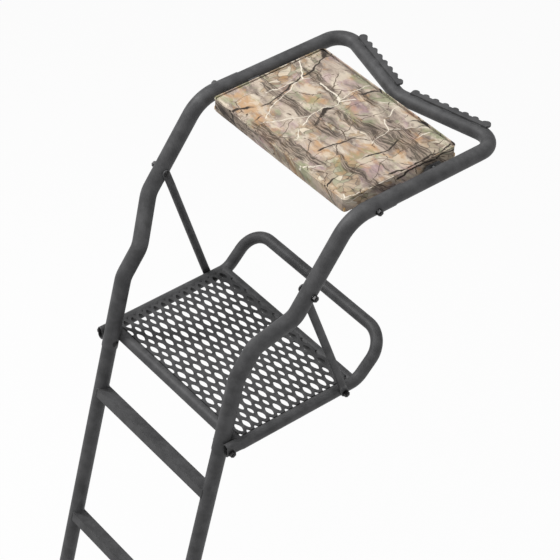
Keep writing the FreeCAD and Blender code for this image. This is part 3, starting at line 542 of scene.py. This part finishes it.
# limbs of bark: dark stretched clouds, cut by fine streaks that run along them
limb = laid_out((5, 5, 0), 0.9, 4.5, 22.0)
grain = clouds(laid_out((9, 2, 0), 0.9, 25.0, 240.0), 0.42, 0.56, 1.0, 4.0)
bark = blended(colour("968779"), colour("3b3129"), grain)
print_colour = blended(print_colour, bark, clouds(limb, 0.57, 0.61, 0.85, 6.0, 0.5))
print_colour = blended(print_colour, colour("332a23"),
                       branches((2, 3, 0), 0.9, 9.0, 3.2, 0.022, 0.49))
print_colour = blended(print_colour, colour("ddd4c4"),
                       branches((8, 1, 0), -0.4, 11.0, 4.5, 0.011, 0.47))
print_colour = blended(print_colour, colour("5b4d41"),
                       branches((4, 6, 0), 0.2, 24.0, 12.0, 0.020, 0.47))
tree.links.new(print_colour, surface.inputs["Base Color"])
# plain weave, drawn at 1.1 mm, coarser than the real thread so that it shows
thread_x = node(tree, "ShaderNodeTexWave", {"bands_direction": "X"}, Vector=place, Scale=290.0)
thread_y = node(tree, "ShaderNodeTexWave", {"bands_direction": "Y"}, Vector=place, Scale=290.0)
bump = node(tree, "ShaderNodeBump", Strength=0.35, Distance=0.0004,
            Height=both(thread_x.outputs["Color"], thread_y.outputs["Color"]))
tree.links.new(bump.outputs["Normal"], surface.inputs["Normal"])
surface.inputs["Roughness"].default_value = 0.85
surface.inputs["Specular IOR Level"].default_value = 0.25
surface.inputs["Sheen Weight"].default_value = 0.12


def upright(piece, edge):
    """Whether an edge stands up."""
    top, bottom = ends(piece, edge)
    return abs(top.z - bottom.z) > 1e-6


def rounded_block(width, depth, low, high, radius, segments=5):
    """A block on the cushion's middle with its upright edges rounded."""
    deselect()
    bpy.ops.mesh.primitive_cube_add(size=1.0, location=(cushion_mid.x, cushion_mid.y,
                                                        (low + high) / 2))
    block = bpy.context.active_object
    block.scale = (width, depth, high - low)
    bpy.ops.object.transform_apply(location=True, rotation=True, scale=True)
    edit(block, "EDGE", lambda edge: upright(block, edge))
    bpy.ops.mesh.bevel(offset=radius, segments=segments)
    bpy.ops.object.mode_set(mode="OBJECT")
    return block


# The pad: foam that swells against the cover.  It is held along the seam and underneath,
# so the top panel crowns and its sides pull in between the corners.
pad = rounded_block(2 * (half_w - PAD_GAP), 2 * (half_d - PAD_GAP),
                    pad_low[2] + PAD_LIFT, seam_z, CORNER - PAD_GAP)
remesh = pad.modifiers.new("skin", "REMESH")
remesh.mode, remesh.voxel_size = "VOXEL", VOXEL
apply_modifiers(pad)
before = [vertex.co.copy() for vertex in pad.data.vertices]
held = pad.vertex_groups.new(name="held")
held.add([k for k, co in enumerate(before) if co.z < seam_z - SEWN_DEPTH
          or abs(co.x - cushion_mid.x) > half_w - SEWN_RIM
          or abs(co.y - cushion_mid.y) > half_d - SEWN_RIM], 1.0, "REPLACE")
cover = pad.modifiers.new("cover", "CLOTH")
cover.settings.use_pressure = True
cover.settings.uniform_pressure_force = 4.0
cover.settings.vertex_group_mass = "held"
cover.settings.effector_weights.gravity = 0.0
for step in range(1, 21):
    bpy.context.scene.frame_set(step)
swelled = pad.evaluated_get(bpy.context.evaluated_depsgraph_get()).to_mesh()
after = [vertex.co.copy() for vertex in swelled.vertices]
pad.modifiers.remove(cover)
bpy.context.scene.frame_set(1)
highest = max(0.0001, max(b.z - a.z for a, b in zip(before, after)))
for vertex, start, end in zip(pad.data.vertices, before, after):
    move = end - start
    if start.z > seam_z - 0.002:
        move.z *= PROUD / max(highest, PROUD)
    vertex.co = start + (move if move.length < MOST_SWELL
                         else move * MOST_SWELL / move.length)
subdivide = pad.modifiers.new("fine", "SUBSURF")
subdivide.levels = subdivide.render_levels = 1
apply_modifiers(pad)
finish_piece(pad, "cushion_pad", "seat", camouflage)
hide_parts("seat_cushion")

# The boxing: a band of the same cloth, its ends open, cut fine enough to pucker.
boxing = rounded_block(2 * half_w, 2 * half_d, hem_z, seam_z, CORNER)
edit(boxing, "FACE", lambda face: abs(face.normal.z) > 0.9)
bpy.ops.mesh.delete(type="ONLY_FACE")
bpy.ops.object.mode_set(mode="OBJECT")
edit(boxing, "EDGE", lambda edge: math.dist(*ends(boxing, edge)) > 0.1)
bpy.ops.mesh.subdivide(number_cuts=SIDE_CUTS)
bpy.ops.object.mode_set(mode="OBJECT")
edit(boxing, "EDGE", lambda edge: upright(boxing, edge))
bpy.ops.mesh.subdivide(number_cuts=HEIGHT_CUTS)
bpy.ops.object.mode_set(mode="OBJECT")
for vertex in boxing.data.vertices:
    x, y = vertex.co.x - cushion_mid.x, vertex.co.y - cushion_mid.y
    share = (seam_z - vertex.co.z) / (seam_z - hem_z)
    run = x if abs(y) > half_d - 0.001 else y + 1.0
    # puckers of about 40 mm, other ones on each of the four sides
    swell = math.sin(math.pi * share) * (SLACK + PUCKER * noise.noise(
        Vector((run * 26, share * 1.2, math.copysign(2.0, x if run > 0.5 else y)))))
    out = Vector((x if abs(x) > half_w - 0.0012 else 0, y if abs(y) > half_d - 0.0012 else 0, 0))
    if out.length:
        vertex.co += out.normalized() * swell
    if share > 0.999:
        vertex.co.z += 0.0007 * noise.noise(Vector((x * 21, y * 21, 4.0)))
# the hem, turned in under the board
edit(boxing, "EDGE", lambda edge: all(end.z < hem_z + 0.001 for end in ends(boxing, edge)))
bpy.ops.mesh.extrude_edges_move()
bpy.ops.transform.resize(value=(1 - HEM / half_w, 1 - HEM / half_d, 1),
                         center_override=cushion_mid)
bpy.ops.mesh.select_all(action="SELECT")
bpy.ops.mesh.remove_doubles(threshold=0.00001)
bpy.ops.mesh.normals_make_consistent(inside=False)
bpy.ops.object.mode_set(mode="OBJECT")
wall = boxing.modifiers.new("cloth", "SOLIDIFY")
wall.thickness, wall.offset = CLOTH, -1.0
apply_modifiers(boxing)
finish_piece(boxing, "cushion_boxing", "seat", camouflage, 50)

# The corded seam: a cord in a fold of the cloth, sewn in between top panel and boxing.
cord = rounded_block(2 * half_w, 2 * half_d, seam_z - 0.001, seam_z, CORNER)
edit(cord, "FACE", lambda face: face.normal.z < 0.9)
bpy.ops.mesh.delete(type="FACE")
bpy.ops.mesh.select_all(action="SELECT")
bpy.ops.mesh.delete(type="ONLY_FACE")
bpy.ops.object.mode_set(mode="OBJECT")
bpy.ops.object.convert(target="CURVE")
cord = bpy.context.active_object
cord.data.bevel_depth = CORD / 2
cord.data.bevel_resolution = 3
bpy.ops.object.convert(target="MESH")
cord = bpy.context.active_object
finish_piece(cord, "cushion_cord", "seat", camouflage)


# ---------------------------------------------------------------- floor, lamps and camera
# A plain white floor under the ladder's foot, which shows white to the camera and keeps a
# tenth of its own shade for the shadow; soft boxes; and a long lens.
deselect()
bpy.ops.mesh.primitive_plane_add(size=60.0, location=(0, 0, cad_box[0][2] - 0.001))
floor = bpy.context.active_object
floor.name = "studio_floor"
paper, tree, surface = new_material("white_paper")
surface.inputs["Base Color"].default_value = colour("f4f4f4")
surface.inputs["Roughness"].default_value = 0.9
glow = node(tree, "ShaderNodeEmission", Color=(1, 1, 1, 1), Strength=1.0)
rays = node(tree, "ShaderNodeLightPath")
seen = node(tree, "ShaderNodeMath", {"operation": "MAXIMUM"},
            _0=rays.outputs["Is Camera Ray"], _1=rays.outputs["Is Glossy Ray"])
glowing = node(tree, "ShaderNodeMath", {"operation": "MULTIPLY"}, _0=seen.outputs["Value"],
               _1=0.9)
mixed = node(tree, "ShaderNodeMixShader", _0=glowing.outputs["Value"],
             _1=surface.outputs["BSDF"], _2=glow.outputs["Emission"])
tree.links.new(mixed.outputs["Shader"], tree.nodes["Material Output"].inputs["Surface"])
floor.data.materials.append(paper)

world = bpy.data.worlds.new("studio")
bpy.context.scene.world = world
world.use_nodes = True
tree = world.node_tree
tree.nodes.clear()
soft = node(tree, "ShaderNodeBackground", Color=(1, 1, 1, 1), Strength=0.50)
white = node(tree, "ShaderNodeBackground", Color=(1, 1, 1, 1), Strength=1.0)
rays = node(tree, "ShaderNodeLightPath")
mixed = node(tree, "ShaderNodeMixShader", _0=rays.outputs["Is Camera Ray"],
             _1=soft.outputs["Background"], _2=white.outputs["Background"])
node(tree, "ShaderNodeOutputWorld", Surface=mixed.outputs["Shader"])


def soft_box(name, place, target, size, power):
    """A square soft box, turned to face a point."""
    light = bpy.data.lights.new(name, "AREA")
    light.shape, light.size, light.energy = "SQUARE", size, power
    box = bpy.data.objects.new(name, light)
    box.location = place
    box.rotation_euler = (Vector(target) - Vector(place)).to_track_quat("-Z", "Y").to_euler()
    bpy.context.scene.collection.objects.link(box)


soft_box("key", (-1.9, -1.7, 2.3), (0, -0.4, -0.3), 1.0, 75)
soft_box("overhead", (0.2, -0.6, 3.0), (0, -0.4, -0.2), 2.5, 40)
soft_box("fill", (2.2, 0.4, 2.0), (0.2, -0.2, 0.0), 1.2, 7)

lens = bpy.data.cameras.new("camera")
lens.sensor_width = 36.0
lens.lens = 141.8
lens.clip_end = 100.0
camera = bpy.data.objects.new("camera", lens)
camera.location = (2.9759, -2.6775, 2.9340)
camera.rotation_euler = (math.radians(90 - 41.17), 0, math.radians(52.06))
bpy.context.scene.collection.objects.link(camera)
bpy.context.scene.camera = camera
bpy.context.scene.view_settings.view_transform = "Standard"
